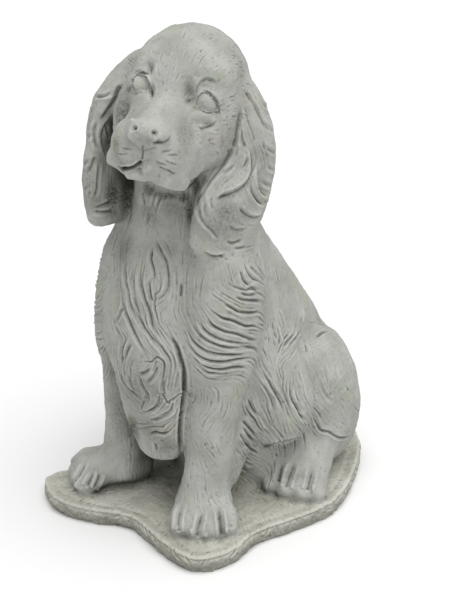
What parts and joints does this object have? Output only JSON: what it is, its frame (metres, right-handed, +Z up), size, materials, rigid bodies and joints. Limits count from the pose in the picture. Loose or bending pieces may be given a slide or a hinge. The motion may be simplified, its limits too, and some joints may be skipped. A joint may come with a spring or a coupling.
{
  "type": "seated dog garden figure",
  "caption": "Seated spaniel garden ornament in weathered cast stone, head turned and tilted, with long wavy ears, feathered chest and legs, on a thin lobed base.",
  "frame": {"origin": "centre of the base's footprint, on its underside", "axes": "+Z up, -Y the way the dog's body faces, +X the dog's left side"},
  "size_m": [0.246, 0.3204, 0.4494],
  "materials": {
    "cast_stone": "matte, weathered",
    "cast_stone_base": "matte, weathered and worn at the lower edge"
  },
  "bodies": {
    "root": {"base": "cast_stone_base", "chest_feathering": "cast_stone", "head": "cast_stone", "left_ear": "cast_stone", "left_eye": "cast_stone", "left_flank": "cast_stone", "left_foreleg": "cast_stone", "left_foreleg_fringe": "cast_stone", "left_forepaw": "cast_stone", "left_hindpaw": "cast_stone", "left_shoulder": "cast_stone", "left_thigh": "cast_stone", "lower_jaw": "cast_stone", "muzzle": "cast_stone", "neck": "cast_stone", "nose": "cast_stone", "right_ear": "cast_stone", "right_eye": "cast_stone", "right_flank": "cast_stone", "right_foreleg": "cast_stone", "right_foreleg_fringe": "cast_stone", "right_forepaw": "cast_stone", "right_hindpaw": "cast_stone", "right_shoulder": "cast_stone", "right_thigh": "cast_stone", "tail": "cast_stone", "torso": "cast_stone"}
  },
  "joints": []
}
